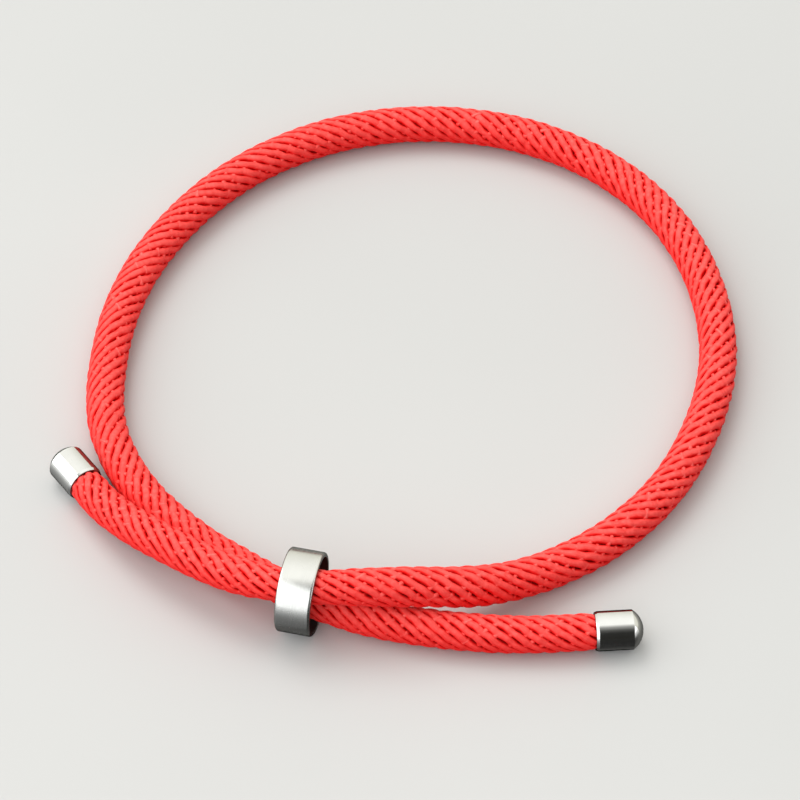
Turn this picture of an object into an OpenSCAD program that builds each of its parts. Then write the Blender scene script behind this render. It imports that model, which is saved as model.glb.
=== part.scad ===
// Adjustable string bracelet, lying on a flat surface (z = 0), in millimetres.
// One round woven cord makes the whole loop. Its two stretches cross inside a
// slider ring and end in two metal caps. The part is centred on its footprint.

/* [Cord] */
// Width of the cord round the loop
cord_d = 4.0; // [3.8:0.05:4.05]
// Number of flat sides of the cord's tube
cord_sides = 12; // [8:2:12]
// Sections of tube between two points of the route
cord_steps = 2; // [1:1:2]

/* [Slider ring] */
// Outer width of the ring
ring_od = 8.3; // [8.3:0.05:8.5]
// Wall of the ring
ring_wall = 0.45; // [0.4:0.01:0.45]
// Length of the ring along the cords
ring_len = 3.5; // [2.5:0.1:3.6]
// Rounding of the two outer rims
ring_rim_r = 0.26; // [0.1:0.01:0.27]
// Rounding of the two rims of the bore
ring_bore_rim_r = 0.1; // [0.05:0.01:0.12]

/* [End caps] */
// Outer width of a cap
cap_d = 3.9; // [3.8:0.05:4.0]
// Length of a cap with its rounded end
cap_len = 4.7; // [4.4:0.1:5.5]
// Length of the rounded end
cap_dome = 1.05; // [0.8:0.05:1.2]
// Wall of a cap round the cord
cap_wall = 0.3; // [0.2:0.05:0.4]
// Length of the slanted rim at a cap's mouth
cap_rim_len = 0.27; // [0.1:0.01:0.3]
// How far the slanted rim comes in at the mouth
cap_rim_drop = 0.1; // [0.05:0.01:0.15]

/* [Hidden] */
$fn = 96;

// Free space between the cord's narrowed end and the cap's bore
cap_play = 0.05;
// How far the cord goes into a cap, and how deep the cap is bored
cord_in_cap = 3.2;
cap_bore_depth = 3.3;
// Length over which the cord narrows at a cap's mouth
cord_shoulder = 0.15;

// Directions in which the two caps point, counted from +X towards +Y
left_cap_turn = 126;
right_cap_turn = 4;

// The ring stands on its rim; its bore is turned a little towards the front
ring_pos = [-9.0, -31.85];
ring_turn = -13;

// The cord from the left cap's mouth, through the ring, round the loop, back
// through the ring below itself and to the right cap's mouth. Each row is
// [x, y, height of the cord's underside above the surface, width / cord_d].
route = [
    // left tail, climbing onto the loop's own end
    [-30.9, -16.3, 0.1, 0.925],
    [-28.6, -19.6, 0.5, 0.95],
    [-25.8, -22.8, 1.4, 0.95],
    [-22.4, -25.8, 2.2, 0.95],
    [-18.6, -28.6, 2.8, 0.95],
    [-15.0, -30.7, 3.3, 0.94],
    // upper place in the ring, where the cord is squeezed
    [-12.0, -31.9, 3.8, 0.875],
    [ -9.0, -32.6, 4.1, 0.875],
    [ -6.0, -32.8, 4.2, 0.875],
    // down from the right tail to the surface
    [ -3.0, -32.8, 4.1, 0.96],
    [  0.5, -32.5, 3.7, 1],
    [  4.5, -31.83, 2.83, 1.015],
    [  7.4, -31.08, 1.9, 1.045],
    [ 11.0, -29.62, 0.92, 1.005],
    [ 14.5, -27.8, 0.2, 1],
    // the loop, anticlockwise
    [ 20.5, -24.0, 0, 1],
    [ 26.5, -17.7, 0, 1],
    [ 31.0,  -9.0, 0, 1],
    [ 33.3,   1.0, 0, 1],
    [ 32.5,  11.5, 0, 1],
    [ 28.7,  21.5, 0, 1],
    [ 22.0,  29.3, 0, 1],
    [ 13.0,  34.2, 0, 1],
    [  3.0,  35.7, 0, 1],
    [ -7.0,  33.8, 0, 1],
    [-16.0,  28.5, 0, 1],
    [-23.0,  20.5, 0, 1],
    [-27.6,  11.0, 0, 1],
    [-29.5,   0.5, 0, 1],
    [-28.9,  -9.5, 0, 1],
    [-25.5, -17.0, 0, 1],
    [-20.0, -23.3, 0, 1],
    [-15.0, -27.2, 0.3, 0.95],
    // lower place in the ring
    [-12.0, -29.5, 1.0, 0.875],
    [ -9.0, -31.1, 0.7, 0.875],
    [ -6.5, -32.2, 0.6, 0.875],
    // right tail
    [ -2.5, -33.4, 0.2, 0.94],
    [  4.0, -34.65, 0, 0.96],
    [ 11.5, -35.32, 0, 0.945],
    [ 19.3, -35.0, 0.1, 0.925]
];

// Centre line and half width at each point of the route
last = len(route) - 1;
half = [for (p = route) p[3] * cord_d / 2];
line = [for (i = [0 : last]) [route[i][0], route[i][1], route[i][2] + half[i]]];
span = [for (i = [0 : last - 1]) norm(line[i + 1] - line[i])];

function heading(turn) = [cos(turn), sin(turn), 0];
left_out = heading(left_cap_turn);
right_out = heading(right_cap_turn);

// Direction of the cord at a point: the chords on both sides, the nearer one
// counting more, and at the ends the direction of the caps
function chord(i) = (line[i + 1] - line[i]) / span[i];
function direction(i) =
    i == 0 ? -left_out :
    i == last ? right_out :
    (chord(i - 1) * span[i] + chord(i) * span[i - 1]) / (span[i - 1] + span[i]);

// One smooth cubic between point i and the next, t running from 0 to 1
function between(i, t) =
    (2*t*t*t - 3*t*t + 1) * line[i] + (t*t*t - 2*t*t + t) * span[i] * direction(i)
    + (3*t*t - 2*t*t*t) * line[i + 1] + (t*t*t - t*t) * span[i] * direction(i + 1);
function slope(i, t) =
    6 * (t*t - t) * (line[i] - line[i + 1])
    + (3*t*t - 4*t + 1) * span[i] * direction(i)
    + (3*t*t - 2*t) * span[i] * direction(i + 1);
function raised(p, r) = [p[0], p[1], max(p[2], r)];

// Cross sections of the tube: [centre, direction, half width]
cap_r = cap_d / 2;
bore_r = cap_r - cap_wall;
plug_r = bore_r - cap_play;
left_mouth = line[0];
right_mouth = line[last];
sections = [
    [left_mouth + cord_in_cap * left_out, -left_out, plug_r],
    [left_mouth, -left_out, plug_r],
    [left_mouth - cord_shoulder * left_out, -left_out, half[0]],
    for (i = [0 : last - 1])
        for (k = [(i == 0 ? 1 : 0) : cord_steps - 1])
            let (t = k / cord_steps, r = half[i] + (half[i + 1] - half[i]) * t)
                [raised(between(i, t), r), slope(i, t), r],
    [right_mouth - cord_shoulder * right_out, right_out, half[last]],
    [right_mouth, right_out, plug_r],
    [right_mouth + cord_in_cap * right_out, right_out, plug_r]
];

function unit(v) = v / norm(v);
// Corners of one section, the first of them at its underside
function corners(s) =
    let (side = unit(cross([0, 0, 1], s[1])), up = unit(cross(s[1], side)))
        [for (k = [0 : cord_sides - 1])
            let (a = 360 * k / cord_sides)
                s[0] + s[2] * (sin(a) * side - cos(a) * up)];

module cord() {
    n = cord_sides;
    points = [for (s = sections) each corners(s)];
    end = len(sections) - 1;
    walls = [
        for (j = [0 : end - 1])
            for (k = [0 : n - 1])
                let (a = j*n + k, b = j*n + (k + 1) % n)
                    each [[a, b, b + n], [a, b + n, a + n]]
    ];
    first = [[for (k = [n - 1 : -1 : 0]) k]];
    final = [[for (k = [0 : n - 1]) end*n + k]];
    color([0.85, 0.12, 0.12])
        polyhedron(points, concat(walls, first, final), convexity = 10);
}

// A cap along +Z with its mouth at z = 0 and its rounded end at cap_len
module cap_shape() {
    dome_r = (cap_r * cap_r + cap_dome * cap_dome) / (2 * cap_dome);
    wall_len = cap_len - cap_dome;
    rotate_extrude()
        difference() {
            union() {
                square([cap_r, wall_len]);
                intersection() {
                    translate([0, cap_len - dome_r]) circle(dome_r);
                    translate([0, wall_len]) square([cap_r, cap_dome]);
                }
            }
            square([bore_r, cap_bore_depth]);
            polygon([
                [cap_r - cap_rim_drop, 0],
                [cap_r, cap_rim_len],
                [cap_r + 1, cap_rim_len],
                [cap_r + 1, -1],
                [cap_r - cap_rim_drop, -1]
            ]);
        }
}

module end_cap(mouth, turn) {
    color([0.80, 0.80, 0.80])
        translate(mouth)
            rotate([0, 90, turn])
                cap_shape();
}

module end_cap_left() {
    end_cap(left_mouth, left_cap_turn);
}

module end_cap_right() {
    end_cap(right_mouth, right_cap_turn);
}

// The wall of the ring, cut along its axis, with four rounded rims
module ring_wall_section() {
    inner = ring_od / 2 - ring_wall;
    outer_r = ring_rim_r;
    bore_rim_r = ring_bore_rim_r;
    core = ring_wall - outer_r;
    translate([inner, -ring_len / 2]) {
        translate([bore_rim_r, 0]) square([core - bore_rim_r, ring_len]);
        translate([0, bore_rim_r]) square([core, ring_len - 2*bore_rim_r]);
        translate([0, outer_r]) square([ring_wall, ring_len - 2*outer_r]);
        for (y = [bore_rim_r, ring_len - bore_rim_r])
            translate([bore_rim_r, y]) circle(bore_rim_r);
        for (y = [outer_r, ring_len - outer_r])
            translate([core, y]) circle(outer_r);
    }
}

module slider_ring() {
    color([0.75, 0.76, 0.77])
        translate([ring_pos[0], ring_pos[1], ring_od / 2])
            rotate([0, 90, ring_turn])
                rotate_extrude()
                    ring_wall_section();
}

cord();
end_cap_left();
end_cap_right();
slider_ring();
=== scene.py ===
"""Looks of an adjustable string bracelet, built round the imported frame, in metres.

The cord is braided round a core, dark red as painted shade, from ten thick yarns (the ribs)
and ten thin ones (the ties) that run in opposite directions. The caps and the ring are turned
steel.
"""

import math

import bpy
import numpy as np
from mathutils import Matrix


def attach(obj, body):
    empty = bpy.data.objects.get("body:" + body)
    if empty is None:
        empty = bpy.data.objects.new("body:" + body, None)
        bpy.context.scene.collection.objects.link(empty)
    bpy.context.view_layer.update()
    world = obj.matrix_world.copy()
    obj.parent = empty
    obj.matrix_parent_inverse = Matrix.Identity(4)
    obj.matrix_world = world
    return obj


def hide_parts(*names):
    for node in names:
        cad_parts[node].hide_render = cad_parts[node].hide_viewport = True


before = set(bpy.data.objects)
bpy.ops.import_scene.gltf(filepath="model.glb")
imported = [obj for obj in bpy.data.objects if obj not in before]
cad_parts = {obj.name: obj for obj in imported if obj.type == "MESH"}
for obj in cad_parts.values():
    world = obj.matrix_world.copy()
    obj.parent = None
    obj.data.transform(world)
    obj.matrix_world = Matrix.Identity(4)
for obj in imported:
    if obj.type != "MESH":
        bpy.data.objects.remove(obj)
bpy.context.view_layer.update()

MM = 0.001
UP = np.array((0.0, 0.0, 1.0))

# The camera: what it aims at, how far off it is, how high above the surface and its lens
AIM = (0.5 * MM, -5.0 * MM, 2.0 * MM)
CAMERA_DISTANCE = 367.3 * MM
CAMERA_ELEVATION = 48
LENS_MM = 162
NEAREST, FARTHEST = 0.01, 20

# The cord and its line: x, y, height of the underside, share of the full width
CORD_D = 4.0 * MM
ROUTE = (
    # left tail, climbing onto the loop's own end
    (-0.0309, -0.0163, 0.0001, 0.925),
    (-0.0286, -0.0196, 0.0005, 0.95),
    (-0.0258, -0.0228, 0.0014, 0.95),
    (-0.0224, -0.0258, 0.0022, 0.95),
    (-0.0186, -0.0286, 0.0028, 0.95),
    (-0.0150, -0.0307, 0.0033, 0.94),
    # upper place in the ring
    (-0.0120, -0.0319, 0.0038, 0.875),
    (-0.0090, -0.0326, 0.0041, 0.875),
    (-0.0060, -0.0328, 0.0042, 0.875),
    # down from the right tail to the surface
    (-0.0030, -0.0328, 0.0041, 0.96),
    (0.0005, -0.0325, 0.0037, 1),
    (0.0045, -0.03183, 0.00283, 1.015),
    (0.0074, -0.03108, 0.0019, 1.045),
    (0.0110, -0.02962, 0.00092, 1.005),
    (0.0145, -0.0278, 0.0002, 1),
    # the loop, anticlockwise
    (0.0205, -0.0240, 0, 1),
    (0.0265, -0.0177, 0, 1),
    (0.0310, -0.0090, 0, 1),
    (0.0333, 0.0010, 0, 1),
    (0.0325, 0.0115, 0, 1),
    (0.0287, 0.0215, 0, 1),
    (0.0220, 0.0293, 0, 1),
    (0.0130, 0.0342, 0, 1),
    (0.0030, 0.0357, 0, 1),
    (-0.0070, 0.0338, 0, 1),
    (-0.0160, 0.0285, 0, 1),
    (-0.0230, 0.0205, 0, 1),
    (-0.0276, 0.0110, 0, 1),
    (-0.0295, 0.0005, 0, 1),
    (-0.0289, -0.0095, 0, 1),
    (-0.0255, -0.0170, 0, 1),
    (-0.0200, -0.0233, 0, 1),
    (-0.0150, -0.0272, 0.0003, 0.95),
    # lower place in the ring
    (-0.0120, -0.0295, 0.0010, 0.875),
    (-0.0090, -0.0311, 0.0007, 0.875),
    (-0.0065, -0.0322, 0.0006, 0.875),
    # right tail
    (-0.0025, -0.0334, 0.0002, 0.94),
    (0.0040, -0.03465, 0, 0.96),
    (0.0115, -0.03532, 0, 0.945),
    (0.0193, -0.0350, 0.0001, 0.925),
)
# Directions of the caps in degrees, and the narrowed ends of the cord inside them
LEFT_CAP_TURN = 126
RIGHT_CAP_TURN = 4
CORD_IN_CAP = 3.2 * MM
PLUG_R = 1.6 * MM
SHOULDER = 0.35 * MM
# Points between two rows of the route, and the distance between the braid's stations
FINE_STEPS = 60
STATION = 0.175 * MM

# The braid: seed of its random values, yarns each way, the ribs' spacing down the cord at
# its left and right end, how far the weave is turned round the cord (degrees), and how far
# below a yarn's top the painted shade in its grooves is deepest
SEED = 11
YARNS = 10
RIB_SPACING = (1.68 * MM, 1.46 * MM)
WEAVE_TURN = 18
GROOVE_DEPTH = 0.5 * MM

# The core, which is plainer and has a ring of points at every fourth station only
CORE_SIDES = 12
CORE_R = 1.45 * MM
CORE_EVERY = 4

# Ribs: how far their tops stand from the cord's middle, half sizes, and the power that
# makes their section squarer than an ellipse. At each tie they are pinched by so much in
# height and thickness, over a share of the way to the next tie. In between they sway
# (degrees) and swell.
RIB_SIDES = 12
RIB_TOP = 2.0 * MM
RIB_HALF_W = 0.42 * MM
RIB_HALF_H = 0.36 * MM
RIB_POWER = 0.78
PINCH = 0.07 * MM
PINCH_H = 0.02 * MM
PINCH_REACH = 0.45
RIB_SWAY = 1.3
RIB_SWELL = 0.02 * MM

# Ties: where their tops stand over a rib and under one, half sizes, the power of their
# section, and where they rise and fall in the two crossings after which the weave repeats
TIE_SIDES = 6
TIE_OVER = 1.91 * MM
TIE_UNDER = 1.35 * MM
TIE_HALF_W = 0.26 * MM
TIE_HALF_H = 0.15 * MM
TIE_POWER = 1.0
TIE_RISE = (0.15, 0.4)
TIE_FALL = (1.3, 1.75)

# How unevenly the yarns run: the distance down the cord from one random value to the next,
# and how far the values reach either way
RIB_SIZE_SLOW = (1.5 * MM, 0.08)
RIB_SIZE_QUICK = (0.6 * MM, 0.06)
PINCH_UNEVEN = (1.6 * MM, 0.4)
RIB_DENTS = (0.9 * MM, 0.06 * MM)
RIB_DRIFT_SLOW = (2.3 * MM, 2.0)
RIB_DRIFT_QUICK = (0.65 * MM, 1.7)
TIE_LATE = (2.1 * MM, 0.25)
TIE_SIZE = (1.9 * MM, 0.2)
TIE_DENTS = (1.3 * MM, 0.06 * MM)
TIE_DRIFT = (2.3 * MM, 2.5)

# The texture map of the yarns: the empty share above and below each row
MAP_MARGIN = 0.04

# Caps and ring, as in the CAD
CAP_R = 1.95 * MM
CAP_LEN = 4.7 * MM
CAP_DOME = 1.05 * MM
CAP_BORE_R = 1.65 * MM
CAP_BORE_DEPTH = 3.3 * MM
CAP_RIM_LEN = 0.27 * MM
CAP_RIM_DROP = 0.1 * MM
RING_R = 4.15 * MM
RING_BORE_R = 3.7 * MM
RING_LEN = 3.5 * MM
RING_RIM_R = 0.26 * MM
RING_BORE_RIM_R = 0.1 * MM
RING_POS = (-0.009, -0.03185)
RING_TURN = -13

# Turned pieces: sides, points down the dome and steps round a rim. A bend of so many
# degrees or more is a corner. It is rounded over the edge's length by so many points, and
# two more points hold it, so many times further off.
TURNED_SIDES = 144
DOME_POINTS = 16
RIM_STEPS = 8
CORNER_BEND = 12
EDGE = 0.03 * MM
CORNER_POINTS = 5
HOLD = 1.5

# The range in which nearly all of a noise lies. The spans of four numbers further down
# give the range of a value first, and then the range of what it drives.
NOISE = (0.3, 0.7)

# Yarn: the reds of ribs and ties at their tops; the ties' paler red is a painted highlight
RIB_RED = (1.0, 0.122, 0.109)
TIE_HIGHLIGHT_RED = (1.0, 0.17, 0.153)
# Painted shade: the red down in the grooves, by lift, and then as shares of the red at the
# top, which darken the ribs' slopes
GROOVE_SHADE_REDS = ((0.1, (0.2, 0.0, 0.0)), (0.5, (0.38, 0.0, 0.001)))
SLOPE_SHADE_SHARES = ((0.77, (0.76, 0.09, 0.09)), (0.9, (0.97, 0.59, 0.57)))
# Painted shade: the deeper red of faces that look sideways or down, by how far they look up
FLANK_SHADE_RED = (0.95, 0.003, 0.004, 1)
FLANK_SHADE_SPAN = (-0.1, 1.0, 0.85, 0.0)
# Patterns on the yarn: how often they change in a millimetre, half way round and from
# yarn to yarn
STREAKS = (2.4, 5.0, 7.3)
PATCHES = (1.5, 2.6, 3.1)
FILAMENTS = (3.2, 11.0, 5.7)
FILAMENT_BUMP = (0.6, 0.05 * MM)
# What the streaks do to the red, to the green and blue, and to the roughness
STREAK_SHADE = (0.9, 1.03)
STREAK_DEPTH = (0.6, 1.14)
STREAK_ROUGHNESS = (0.52, 0.68)
PATCH_RED = (1.0, 0.15, 0.135, 1)
PATCH_SPAN = (0.4, 0.75, 0.0, 0.14)
# Gloss and sheen, by lift
GLOSS_SPAN = (0.6, 0.95, 0.0, 0.12)
SHEEN_SPAN = (0.75, 1.0, 0.0, 0.11)
SHEEN_ROUGHNESS = 0.4
SHEEN_RED = (1.0, 0.42, 0.38, 1)
# Painted shade in reflections: the darker red of the yarn as the steel mirrors it, and the
# share of that red
MIRRORED_SHADE_RED = (0.12, 0.02, 0.015, 1)
MIRRORED_SHARE = 0.8

# The core's dark reds along a fine noise: painted shade for the depth between the yarns
CORE_NOISE = 2500.0
CORE_SHADE_REDS = ((0.3, (0.36, 0.0, 0.0)), (0.7, (0.46, 0.0, 0.001)))
CORE_ROUGHNESS = 0.9

# Steel: colour, roughness, and how much the turning lines change the roughness
CAP_FINISH = ((0.86, 0.86, 0.85), 0.06, 0.02)
RING_FINISH = ((0.83, 0.83, 0.81), 0.24, 0.04)
# The bore: its dark colour is painted shade, and how much rougher it is
BORE_SHADE_COLOUR = (0.16, 0.15, 0.14, 1)
BORE_ROUGHER = 0.3
# Patterns on the steel: how often they change in a millimetre along and across the axis
TURNING = (9.0, 0.3, 0.3)
TURNING_BUMP = (0.3, 0.01 * MM)
SMUDGES = (0.5, 0.5, 0.5)
SMUDGE_SPAN = (0.35, 0.65)
SMUDGE_DIM = 0.95
SCRATCHES = (2.2, 17.0, 11.0)
SCRATCH_SPAN = (0.70, 0.76, 0.0, 0.07)

# Floor: half its size, and its greys along a wide noise. Colour, roughness and gloss go
# from the floor as it is to the floor as the steel mirrors it.
FLOOR_HALF = 3.0
FLOOR_NOISE = 9.0
FLOOR_GREYS = ((0.3, (0.53, 0.53, 0.53)), (0.7, (0.56, 0.56, 0.56)))
FLOOR_MIRRORED = (0.015, 0.015, 0.015, 1)
FLOOR_ROUGHNESS = (0.8, 0.2)
FLOOR_GLOSS = (0.2, 1.0)

# The surroundings: their colour near the horizon and overhead, the share of it from the
# camera's side (-1) to the back (1) along an axis, what is added on the right over a span
# of x, and the plain backdrop that the camera sees
DOME_LOW = (0.76, 0.75, 0.65, 1)
DOME_TOP = (1.18, 1.18, 1.12, 1)
DOME_AXIS = (0.0, 0.946, 0.326)
DOME_SHARE = ((-0.56, 0.03), (-0.3, 0.10), (0.0, 0.36), (0.13, 0.68), (0.25, 1.0))
RIGHT_SIDE = (0.34, 0.33, 0.32, 1)
RIGHT_SPAN = (0.5, 0.85)
BACKDROP = (0.72, 0.71, 0.69, 1)

# Soft panels: name, azimuth, elevation, size, power, colour, whether the steel mirrors it
# and whether it lights the cord and the floor. Azimuth 0 is the camera's side, 90 the right.
PANEL_DISTANCE = 0.9
PANELS = (
    ("window", -61, 32, (2.3, 1.18), 11.5, (0.98, 1.0, 1.0), True, True),
    ("fill", 5, 45, (0.6, 0.6), 1.4, (1.0, 1.0, 1.0), False, True),
    ("key", -150, 58, (0.5, 0.5), 3.0, (1.0, 0.99, 0.97), False, True),
    ("card", 78, 5, (0.55, 0.32), 0.55, (1.0, 1.0, 1.0), True, False),
)


def unit(v):
    return v / np.linalg.norm(v, axis=-1, keepdims=True)


def heading(turn):
    return np.array((math.cos(math.radians(turn)), math.sin(math.radians(turn)), 0.0))


def smooth(low, high, value):
    t = np.clip((value - low) / (high - low), 0, 1)
    return t * t * (3 - 2 * t)


def wander(rng, s, every, reach):
    """A smooth random value at each place along a yarn, at most reach either way."""
    values = rng.uniform(-reach, reach, int(s[-1] / every) + 3)
    i = (s / every).astype(int)
    t = smooth(0, 1, s / every - i)
    return values[i] * (1 - t) + values[i + 1] * t


def route_line():
    """The middle of the cord at each row of the route, and its half width there."""
    rows = np.array(ROUTE, float)
    half = rows[:, 3] * CORD_D / 2
    return rows[:, :3] + half[:, None] * UP, half


def fine_line():
    """Close points down the cord, from inside the left cap to inside the right one.

    Their half widths come with them. Between two rows of the route the line is a cubic.
    """
    line, half = route_line()
    chords = np.diff(line, axis=0)
    span = np.linalg.norm(chords, axis=1)[:, None]
    chord = chords / span
    inner = (chord[:-1] * span[1:] + chord[1:] * span[:-1]) / (span[:-1] + span[1:])
    direction = np.vstack([-heading(LEFT_CAP_TURN), inner, heading(RIGHT_CAP_TURN)])
    t = (np.arange(FINE_STEPS) / FINE_STEPS)[:, None]
    points, widths = [], []
    for i in range(len(span)):
        points.append(
            (2 * t**3 - 3 * t**2 + 1) * line[i]
            + (t**3 - 2 * t**2 + t) * span[i] * direction[i]
            + (3 * t**2 - 2 * t**3) * line[i + 1]
            + (t**3 - t**2) * span[i] * direction[i + 1]
        )
        widths.append(half[i] + (half[i + 1] - half[i]) * t[:, 0])
    points = np.vstack([*points, line[-1:]])
    widths = np.concatenate([*widths, half[-1:]])
    points[:, 2] = np.maximum(points[:, 2], widths)
    left_end = line[0] + CORD_IN_CAP * heading(LEFT_CAP_TURN)
    right_end = line[-1] + CORD_IN_CAP * heading(RIGHT_CAP_TURN)
    points = np.vstack([left_end, points, right_end])
    widths = np.concatenate([half[:1], widths, half[-1:]])
    return points, widths


def distance_along(points):
    steps = np.linalg.norm(np.diff(points, axis=0), axis=1)
    return np.concatenate([[0.0], np.cumsum(steps)])


class Cord:
    """The cord's stations, from the left end to the right one.

    Each has its distance along, centre, share of the full width, the directions across,
    and the number of crossings of rib and tie up to it.
    """

    def __init__(self):
        points, widths = fine_line()
        along = distance_along(points)
        count = round(along[-1] / STATION) + 1
        self.s = np.linspace(0, along[-1], count)
        self.length = along[-1]
        self.centre = np.stack([np.interp(self.s, along, points[:, k]) for k in range(3)], axis=1)
        half = np.interp(self.s, along, widths)
        outside = np.minimum(self.s, self.length - self.s) - CORD_IN_CAP
        half = PLUG_R + (half - PLUG_R) * np.clip(outside / SHOULDER, 0, 1)
        self.share = half / (CORD_D / 2)
        tangent = unit(np.gradient(self.centre, axis=0))
        self.side = unit(np.cross(UP, tangent))
        self.up = np.cross(tangent, self.side)
        spacing = RIB_SPACING[0] + (RIB_SPACING[1] - RIB_SPACING[0]) * self.s / self.length
        self.crossings = np.cumsum(2 / spacing) * (self.s[1] - self.s[0])

    def out(self, angle):
        """The direction away from the middle at each station, angle in degrees from the top."""
        a = np.radians(angle)[:, None]
        return np.cos(a) * self.up + np.sin(a) * self.side


def swept(centre, out, half_w, half_h, sides, power):
    """Rings of points round a line; the first point of each ring faces away from out.

    A power of 1 makes an ellipse, and a lower one squares it.
    """
    tangent = unit(np.gradient(centre, axis=0))
    high = unit(out - (out * tangent).sum(1, keepdims=True) * tangent)
    wide = np.cross(tangent, high)
    a = np.radians(-90 + 360 * np.arange(sides) / sides)
    x = np.sign(np.cos(a)) * np.abs(np.cos(a)) ** power
    y = np.sign(np.sin(a)) * np.abs(np.sin(a)) ** power
    return (
        centre[:, None]
        + (half_w[:, None] * x)[..., None] * wide[:, None]
        + (half_h[:, None] * y)[..., None] * high[:, None]
    )


def mesh_object(name, points, faces, material):
    mesh = bpy.data.meshes.new(name)
    mesh.from_pydata(points, [], faces)
    mesh.polygons.foreach_set("use_smooth", [True] * len(mesh.polygons))
    mesh.materials.append(material)
    thing = bpy.data.objects.new(name, mesh)
    bpy.context.scene.collection.objects.link(thing)
    return thing


def add_values(thing, name, values):
    """A value or a vector at each point of the mesh, which its material reads by name."""
    values = np.asarray(values, np.float32)
    kind, field = ("FLOAT_VECTOR", "vector") if values.ndim == 2 else ("FLOAT", "value")
    thing.data.attributes.new(name, kind, "POINT").data.foreach_set(field, values.ravel())


def strand_faces(rings, sides, first):
    """Quads between the rings of one strand, and a face over each of its ends."""
    k = np.arange(rings - 1)[:, None] * sides
    c = np.arange(sides)
    after = (c + 1) % sides
    quads = np.stack([k + c, k + after, k + sides + after, k + sides + c], axis=-1)
    ends = [list(range(sides - 1, -1, -1)), [(rings - 1) * sides + i for i in range(sides)]]
    return (quads.reshape(-1, 4) + first).tolist() + [[i + first for i in e] for e in ends]


def lay_out(thing, strands, rings, sides):
    """A texture map of the strands laid side by side, cut into rows that fill a square."""
    steps = rings - 1
    total = strands * steps
    rows = max(1, round(math.sqrt(total / sides)))
    per_row = -(-total // rows)
    row, column = np.divmod(np.arange(total), per_row)
    c = np.arange(sides)
    u = np.stack([column, column, column + 1, column + 1], axis=-1) / per_row
    v = np.stack([c, c + 1, c + 1, c], axis=-1) / sides
    u = np.broadcast_to(u[:, None], (total, sides, 4))
    v = (row[:, None, None] + MAP_MARGIN + (1 - 2 * MAP_MARGIN) * v[None]) / rows
    quads = np.stack([u, v], axis=-1).reshape(strands, steps * sides * 4, 2)
    ends = np.zeros((strands, 2 * sides, 2))
    uv = np.concatenate([quads, ends], axis=1).reshape(-1, 2)
    layer = thing.data.uv_layers.new(name="OFBake")
    layer.uv.foreach_set("vector", uv.astype(np.float32).ravel())


def strands(name, cord, yarns, sides, power, material):
    """One piece made of several yarns.

    Each yarn is given as its angle, radius, half sizes and top down the cord. Its points
    hold two values for the material: lift is 1 at the yarn's top and 0 at the groove's
    depth below it, and thread is the place along the yarn (mm), round it, and its number.
    """
    rings = len(cord.s)
    points, faces, lift, thread = [], [], [], []
    around = np.abs(np.arange(sides) / sides * 2 - 1)
    for i, (angle, radius, half_w, half_h, top) in enumerate(yarns):
        out = cord.out(angle)
        centre = cord.centre + (radius * cord.share)[:, None] * out
        tube = swept(centre, out, half_w * cord.share, half_h * cord.share, sides, power)
        points.append(tube.reshape(-1, 3))
        faces += strand_faces(rings, sides, i * rings * sides)
        away = np.linalg.norm(tube - cord.centre[:, None], axis=-1) / cord.share[:, None]
        lift.append(np.clip(1 + (away - top[:, None]) / GROOVE_DEPTH, 0, 1).ravel())
        along = np.repeat(distance_along(centre) / MM, sides)
        place = [along, np.tile(around, rings), np.full(rings * sides, float(i))]
        thread.append(np.stack(place, axis=-1))
    thing = mesh_object(name, np.vstack(points), faces, material)
    add_values(thing, "lift", np.concatenate(lift))
    add_values(thing, "thread", np.vstack(thread))
    lay_out(thing, len(yarns), rings, sides)
    return thing


def rib_yarn(cord, i, rng):
    """A thick yarn: it bulges between the ties that cross over it and pinches under them."""
    to_pinch = np.abs(cord.crossings % 2 - 1)
    pinch = np.exp(-((to_pinch / PINCH_REACH) ** 2))
    size = 1 + wander(rng, cord.s, *RIB_SIZE_SLOW) + wander(rng, cord.s, *RIB_SIZE_QUICK)
    depth = 1 + wander(rng, cord.s, *PINCH_UNEVEN)
    top = RIB_TOP - PINCH * pinch * depth - np.abs(wander(rng, cord.s, *RIB_DENTS))
    half_h = RIB_HALF_H * size - PINCH_H * pinch
    half_w = RIB_HALF_W * size + RIB_SWELL * np.sin(math.pi * cord.crossings)
    drift = wander(rng, cord.s, *RIB_DRIFT_SLOW) + wander(rng, cord.s, *RIB_DRIFT_QUICK)
    turn = WEAVE_TURN + RIB_SWAY * np.cos(math.pi * cord.crossings) + drift
    angle = turn + 360 / YARNS * i - 180 / YARNS * cord.crossings
    return angle, top - half_h, half_w, half_h, top


def tie_yarn(cord, j, rng):
    """A thin yarn the other way round, over one rib and under the next."""
    phase = cord.crossings % 2
    late = wander(rng, cord.s, *TIE_LATE)
    over = smooth(*TIE_RISE, phase) * (1 - smooth(*TIE_FALL, phase - late))
    size = 1 + wander(rng, cord.s, *TIE_SIZE)
    highest = TIE_OVER - np.abs(wander(rng, cord.s, *TIE_DENTS))
    top = highest - (TIE_OVER - TIE_UNDER) * (1 - over)
    turn = WEAVE_TURN + wander(rng, cord.s, *TIE_DRIFT)
    angle = turn + 360 / YARNS * j + 180 / YARNS * cord.crossings
    return angle, top - TIE_HALF_H, TIE_HALF_W * size, TIE_HALF_H * size, highest


def core_tube(cord, material):
    """The inside of the cord, seen only between the yarns; its dark red is painted shade."""
    pick = np.arange(0, len(cord.s), CORE_EVERY)
    pick[-1] = len(cord.s) - 1
    radius = CORE_R * cord.share[pick]
    tube = swept(cord.centre[pick], cord.up[pick], radius, radius, CORE_SIDES, 1.0)
    faces = strand_faces(len(pick), CORE_SIDES, 0)
    thing = mesh_object("cord_core", tube.reshape(-1, 3), faces, material)
    lay_out(thing, 1, len(pick), CORE_SIDES)
    return thing


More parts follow.
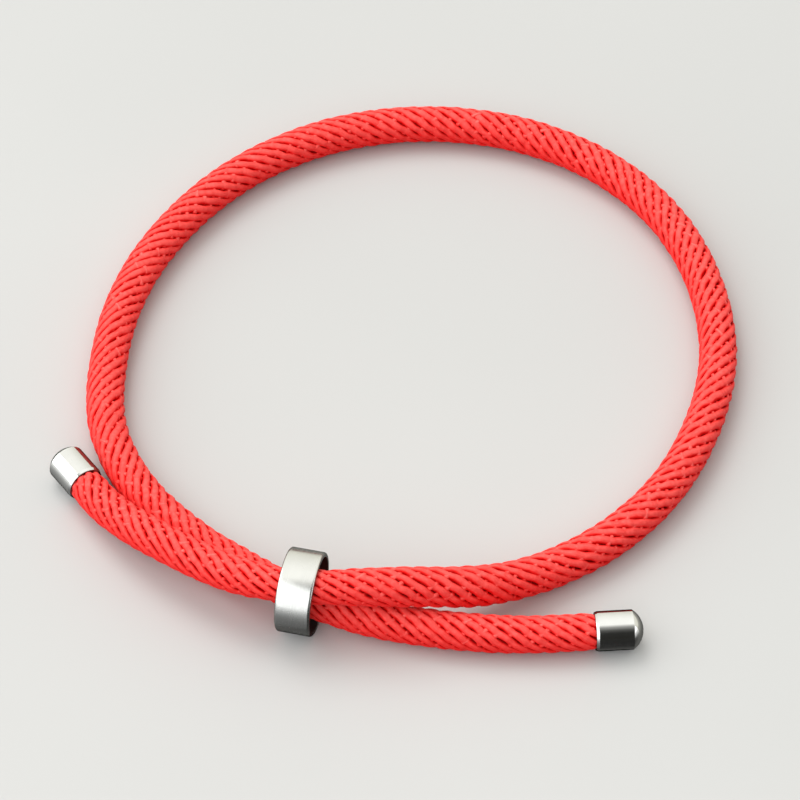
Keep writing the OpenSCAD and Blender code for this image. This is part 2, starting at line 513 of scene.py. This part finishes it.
def softened(profile, closed):
    """The profile with each corner rounded and held by a point on either side."""
    points = [np.array(p, float) for p in profile]
    n = len(points)
    made = []
    for i, p in enumerate(points):
        before, after = points[i - 1] - p, points[(i + 1) % n] - p
        bend = math.degrees(math.acos(np.clip(-unit(before) @ unit(after), -1, 1)))
        is_tip = not closed and i in (0, n - 1)
        if is_tip or bend < CORNER_BEND:
            made.append(p)
            continue
        reach = min(EDGE, np.linalg.norm(before) / 3, np.linalg.norm(after) / 3)
        a, b = p + unit(before) * reach, p + unit(after) * reach
        made.append(p + unit(before) * reach * HOLD)
        for t in np.linspace(0, 1, CORNER_POINTS):
            made.append((1 - t) ** 2 * a + 2 * t * (1 - t) * p + t**2 * b)
        made.append(p + unit(after) * reach * HOLD)
    return np.array(made)


def turned_faces(rings, sides, closed):
    """Quads between the rings of a turned piece, and triangles to its two tips if it's open."""
    k = np.arange(rings if closed else rings - 1)[:, None] * sides
    c = np.arange(sides)
    after = (c + 1) % sides
    ahead = (k + sides) % (rings * sides)
    quads = np.stack([k + c, ahead + c, ahead + after, k + after], axis=-1)
    faces = quads.reshape(-1, 4).tolist()
    if not closed:
        tip = rings * sides
        last = tip - sides
        pairs = list(zip(c.tolist(), after.tolist()))
        faces += [[tip, i, j] for i, j in pairs]
        faces += [[tip + 1, last + j, last + i] for i, j in pairs]
    return faces


def turned(name, profile, closed, place, axis, bore_r, material):
    """A turned piece: a profile of (along, radius), swung round an axis that starts at place.

    A closed profile makes a ring, and an open one starts and ends on the axis. The points
    hold two values for the material: turned is the place in the piece's own directions
    (mm), and bore is 1 inside it.
    """
    profile = softened(profile, closed)
    body = profile if closed else profile[1:-1]
    rings, sides = len(body), TURNED_SIDES
    a = np.radians(360 * np.arange(sides) / sides)
    along, radius = np.repeat(body, sides, axis=0).T
    around = radius * np.tile(np.cos(a), rings), radius * np.tile(np.sin(a), rings)
    local = np.stack([along, *around], axis=-1)
    if not closed:
        local = np.vstack([local, [[tip, 0, 0] for tip in profile[[0, -1], 0]]])
    points = place + local @ np.array([axis, UP, np.cross(UP, axis)])
    thing = mesh_object(name, points, turned_faces(rings, sides, closed), material)
    add_values(thing, "turned", local / MM)
    near_axis = np.linalg.norm(local[:, 1:], axis=1) < bore_r + EDGE
    add_values(thing, "bore", near_axis & (local[:, 0] < CAP_BORE_DEPTH + EDGE))
    return thing


def cap_profile():
    """From the tip of the rounded end, down the outside, round the mouth and into the bore."""
    dome_r = (CAP_R**2 + CAP_DOME**2) / (2 * CAP_DOME)
    wide = math.asin(CAP_R / dome_r)
    dome = [
        (CAP_LEN - dome_r + dome_r * math.cos(a), dome_r * math.sin(a))
        for a in np.linspace(0, wide, DOME_POINTS)
    ]
    return dome + [
        (CAP_RIM_LEN, CAP_R),
        (0.0, CAP_R - CAP_RIM_DROP),
        (0.0, CAP_BORE_R),
        (CAP_BORE_DEPTH, CAP_BORE_R),
        (CAP_BORE_DEPTH, 0.0),
    ]


def quarter(centre, radius, start):
    """A quarter turn of points round centre, start in degrees from the axis."""
    angles = [math.radians(start + 90 * k / RIM_STEPS) for k in range(RIM_STEPS + 1)]
    return [
        (centre[0] + radius * math.cos(a), centre[1] + radius * math.sin(a)) for a in angles
    ]


def ring_profile():
    """The ring's wall, cut along its axis."""
    end = RING_LEN / 2
    outer, inner = RING_RIM_R, RING_BORE_RIM_R
    return (
        quarter((end - outer, RING_R - outer), outer, 0)
        + quarter((-end + outer, RING_R - outer), outer, 90)
        + quarter((-end + inner, RING_BORE_R + inner), inner, 180)
        + quarter((end - inner, RING_BORE_R + inner), inner, 270)
    )


class Nodes:
    """Short ways to add nodes to a new material's or world's tree."""

    def __init__(self, owner):
        owner.use_nodes = True
        self.owner = owner
        self.tree = owner.node_tree

    def add(self, kind, inputs=(), **settings):
        node = self.tree.nodes.new("ShaderNode" + kind)
        for key, value in settings.items():
            setattr(node, key, value)
        for key, value in dict(inputs).items():
            self.set(node, key, value)
        return node

    def set(self, node, key, value):
        if isinstance(value, bpy.types.NodeSocket):
            self.tree.links.new(value, node.inputs[key])
        else:
            node.inputs[key].default_value = value

    def shade(self, **values):
        """Values or links for the shader's own sockets, _ for each space."""
        shader = self.tree.nodes["Principled BSDF"]
        for key, value in values.items():
            self.set(shader, key.replace("_", " "), value)

    def held(self, name, output="Fac"):
        """A value that the mesh holds at its points."""
        return self.add("Attribute", attribute_name=name).outputs[output]

    def mirrored(self):
        """1 where the surface is seen in a mirror, such as the steel, and 0 elsewhere."""
        return self.add("LightPath").outputs["Is Glossy Ray"]

    def noise(self, vector, scale, detail=3.0):
        inputs = {"Vector": vector, "Scale": scale, "Detail": detail}
        return self.add("TexNoise", inputs).outputs["Fac"]

    def pattern(self, name, stretch, detail=3.0):
        """Noise that lies in a vector which the mesh holds."""
        inputs = {0: self.held(name, "Vector"), 1: stretch}
        vector = self.add("VectorMath", inputs, operation="MULTIPLY").outputs[0]
        return self.noise(vector, 1.0, detail)

    def ramp(self, value, stops):
        stops = list(stops)
        node = self.add("ValToRGB", {"Fac": value})
        while len(node.color_ramp.elements) < len(stops):
            node.color_ramp.elements.new(0.5)
        for element, (place, colour) in zip(node.color_ramp.elements, stops):
            element.position = place
            element.color = (*colour, 1)
        return node.outputs["Color"]

    def span(self, value, low, high, to_low, to_high):
        inputs = {"From Min": low, "From Max": high, "To Min": to_low, "To Max": to_high}
        return self.add("MapRange", {"Value": value, **inputs}).outputs["Result"]

    def mixed(self, kind, factor, a, b):
        inputs = {0: factor, 6: a, 7: b}
        return self.add("Mix", inputs, data_type="RGBA", blend_type=kind).outputs[2]

    def bump(self, height, strength, distance):
        inputs = {"Height": height, "Strength": strength, "Distance": distance}
        return self.add("Bump", inputs).outputs["Normal"]


def yarn_material(name, top):
    """Red polyester yarn: fine filaments along it, and painted shade: deeper red in the grooves,
    on its flanks and where the steel mirrors it.
    """
    n = Nodes(bpy.data.materials.new(name))
    lift = n.held("lift")
    streaks = n.pattern("thread", STREAKS)
    patches = n.pattern("thread", PATCHES)
    filaments = n.pattern("thread", FILAMENTS, 4.0)
    # The ramp by lift paints shade down the ribs' slopes and into the grooves
    slopes = [(place, tuple(np.multiply(shares, top))) for place, shares in SLOPE_SHADE_SHARES]
    body = n.ramp(lift, [*GROOVE_SHADE_REDS, *slopes, (1.0, top)])
    # Faces that look sideways or down turn deeper red: painted shade
    looks_up = n.add("SeparateXYZ", {0: n.add("NewGeometry").outputs["Normal"]}).outputs["Z"]
    body = n.mixed("MIX", n.span(looks_up, *FLANK_SHADE_SPAN), body, FLANK_SHADE_RED)
    shade = n.span(streaks, *NOISE, *STREAK_SHADE)
    depth = n.span(streaks, *NOISE, *STREAK_DEPTH)
    streaked = n.add("CombineColor", {0: shade, 1: depth, 2: depth}).outputs[0]
    body = n.mixed("MULTIPLY", 1.0, body, streaked)
    body = n.mixed("MIX", n.span(patches, *PATCH_SPAN), body, PATCH_RED)
    # Where the steel mirrors the yarn its red is darkened: painted shade in the reflection
    mirrored = n.span(n.mirrored(), 0.0, 1.0, 0.0, MIRRORED_SHARE)
    n.shade(
        Base_Color=n.mixed("MIX", mirrored, body, MIRRORED_SHADE_RED),
        Roughness=n.span(streaks, *NOISE, *STREAK_ROUGHNESS),
        Normal=n.bump(filaments, *FILAMENT_BUMP),
        Specular_IOR_Level=n.span(lift, *GLOSS_SPAN),
        Sheen_Weight=n.span(lift, *SHEEN_SPAN),
        Sheen_Roughness=SHEEN_ROUGHNESS,
        Sheen_Tint=SHEEN_RED,
    )
    return n.owner


def core_material():
    """Painted shade: the dark red of the depth between the yarns."""
    n = Nodes(bpy.data.materials.new("cord_depth_shade"))
    speckle = n.noise(n.add("TexCoord").outputs["Object"], CORE_NOISE)
    n.shade(Base_Color=n.ramp(speckle, CORE_SHADE_REDS), Roughness=CORE_ROUGHNESS)
    return n.owner


def steel_material(name, colour, dull, lines):
    """Turned stainless steel: faint lines round it, smudges, a few scratches and a rougher bore,
    whose dark colour is painted shade.
    """
    n = Nodes(bpy.data.materials.new(name))
    bore = n.held("bore")
    turning = n.pattern("turned", TURNING, 4.0)
    smudges = n.pattern("turned", SMUDGES, 2.0)
    scratches = n.pattern("turned", SCRATCHES, 1.0)
    dim = tuple(c * SMUDGE_DIM for c in colour)
    steel = n.ramp(smudges, zip(SMUDGE_SPAN, (dim, colour)))
    finish = n.span(turning, *NOISE, dull - lines, dull + lines)
    scratched = n.span(scratches, *SCRATCH_SPAN)
    finish = n.add("Math", {0: scratched, 1: finish}, operation="ADD").outputs[0]
    rough = n.add("Math", {0: bore, 1: BORE_ROUGHER, 2: finish}, operation="MULTIPLY_ADD")
    # The bore's dark colour is painted shade
    n.shade(
        Base_Color=n.mixed("MIX", bore, steel, BORE_SHADE_COLOUR),
        Metallic=1.0,
        Roughness=rough.outputs[0],
        Normal=n.bump(turning, *TURNING_BUMP),
    )
    return n.owner


def floor_material():
    """Plain pale floor, which the steel mirrors as a dark glossy one for contrast."""
    n = Nodes(bpy.data.materials.new("pale_floor"))
    pale = n.ramp(n.noise(n.add("TexCoord").outputs["Object"], FLOOR_NOISE), FLOOR_GREYS)
    mirrored = n.mirrored()
    n.shade(
        Base_Color=n.mixed("MIX", mirrored, pale, FLOOR_MIRRORED),
        Roughness=n.span(mirrored, 0.0, 1.0, *FLOOR_ROUGHNESS),
        Specular_IOR_Level=n.span(mirrored, 0.0, 1.0, *FLOOR_GLOSS),
    )
    return n.owner


def make_camera():
    e = math.radians(CAMERA_ELEVATION)
    data = bpy.data.cameras.new("camera")
    data.lens = LENS_MM
    data.clip_start = NEAREST
    data.clip_end = FARTHEST
    camera = bpy.data.objects.new("camera", data)
    camera.location = np.array(AIM) + CAMERA_DISTANCE * np.array((0, -math.cos(e), math.sin(e)))
    camera.rotation_euler = (math.pi / 2 - e, 0, 0)
    bpy.context.scene.collection.objects.link(camera)
    bpy.context.scene.camera = camera


def panel_light(name, azimuth, elevation, size, power, colour, mirrored, lights):
    """A soft panel that faces the bracelet."""
    a, e = math.radians(azimuth), math.radians(elevation)
    away = np.array((math.sin(a) * math.cos(e), -math.cos(a) * math.cos(e), math.sin(e)))
    data = bpy.data.lights.new(name, "AREA")
    data.shape = "RECTANGLE"
    data.size, data.size_y = size
    data.energy = power
    data.color = colour
    light = bpy.data.objects.new(name, data)
    light.location = away * PANEL_DISTANCE
    light.rotation_euler = (math.pi / 2 - e, 0, a)
    light.visible_glossy = mirrored
    light.visible_diffuse = lights
    bpy.context.scene.collection.objects.link(light)


def make_world():
    """Studio surroundings: bright and warm overhead and behind, dark towards the camera's side."""
    n = Nodes(bpy.data.worlds.new("studio"))
    direction = n.add("TexCoord").outputs["Generated"]
    split = n.add("SeparateXYZ", {0: direction}).outputs
    dome = n.mixed("MIX", split["Z"], DOME_LOW, DOME_TOP)
    back = n.add("VectorMath", {0: direction, 1: DOME_AXIS}, operation="DOT_PRODUCT")
    back = n.span(back.outputs["Value"], -1.0, 1.0, 0.0, 1.0)
    share = n.ramp(back, [((place + 1) / 2, (value,) * 3) for place, value in DOME_SHARE])
    lit = n.mixed("MULTIPLY", 1.0, dome, share)
    right = n.span(split["X"], *RIGHT_SPAN, 0.0, 1.0)
    lit = n.mixed("LIGHTEN", right, lit, RIGHT_SIDE)
    seen_directly = n.add("LightPath").outputs["Is Camera Ray"]
    colour = n.mixed("MIX", seen_directly, lit, BACKDROP)
    n.set(n.tree.nodes["Background"], "Color", colour)
    bpy.context.scene.world = n.owner


def make_floor():
    h = FLOOR_HALF
    corners = [(-h, -h, 0), (h, -h, 0), (h, h, 0), (-h, h, 0)]
    mesh_object("floor", corners, [(0, 1, 2, 3)], floor_material())


def place_piece(piece, node):
    """The piece moves with the part and stands for the CAD node, which it hides."""
    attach(piece, "root")
    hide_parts(node)
    return piece


def make_yarns(name, cord, yarns, sides, power, material):
    piece = strands(name, cord, yarns, sides, power, material)
    return place_piece(piece, "cord")


def make_cap(name, mouth, turn, steel, node):
    piece = turned(name, cap_profile(), False, mouth, heading(turn), CAP_BORE_R, steel)
    return place_piece(piece, node)


def make_ring(steel):
    place = np.array((*RING_POS, RING_R))
    axis = heading(RING_TURN)
    piece = turned("ring", ring_profile(), True, place, axis, RING_BORE_R, steel)
    return place_piece(piece, "slider_ring")


make_camera()

cord = Cord()
rng = np.random.default_rng(SEED)
yarn = yarn_material("red_yarn", RIB_RED)
# The ties' yarn is a paler copy of the ribs' yarn: a painted highlight
thin_yarn = yarn_material("thin_red_yarn", TIE_HIGHLIGHT_RED)
ribs = [rib_yarn(cord, i, rng) for i in range(YARNS)]
ties = [tie_yarn(cord, j, rng) for j in range(YARNS)]
ribs_even = make_yarns("cord_ribs_even", cord, ribs[0::2], RIB_SIDES, RIB_POWER, yarn)
ribs_odd = make_yarns("cord_ribs_odd", cord, ribs[1::2], RIB_SIDES, RIB_POWER, yarn)
thin_yarns = make_yarns("cord_ties", cord, ties, TIE_SIDES, TIE_POWER, thin_yarn)
core = place_piece(core_tube(cord, core_material()), "cord")

mouths, _ = route_line()
cap_steel = steel_material("polished_steel", *CAP_FINISH)
ring_steel = steel_material("satin_steel", *RING_FINISH)
cap_left = make_cap("cap_left", mouths[0], LEFT_CAP_TURN, cap_steel, "end_cap_left")
cap_right = make_cap("cap_right", mouths[-1], RIGHT_CAP_TURN, cap_steel, "end_cap_right")
ring = make_ring(ring_steel)

make_floor()
make_world()
for panel in PANELS:
    panel_light(*panel)
bpy.context.scene.view_settings.view_transform = "Standard"
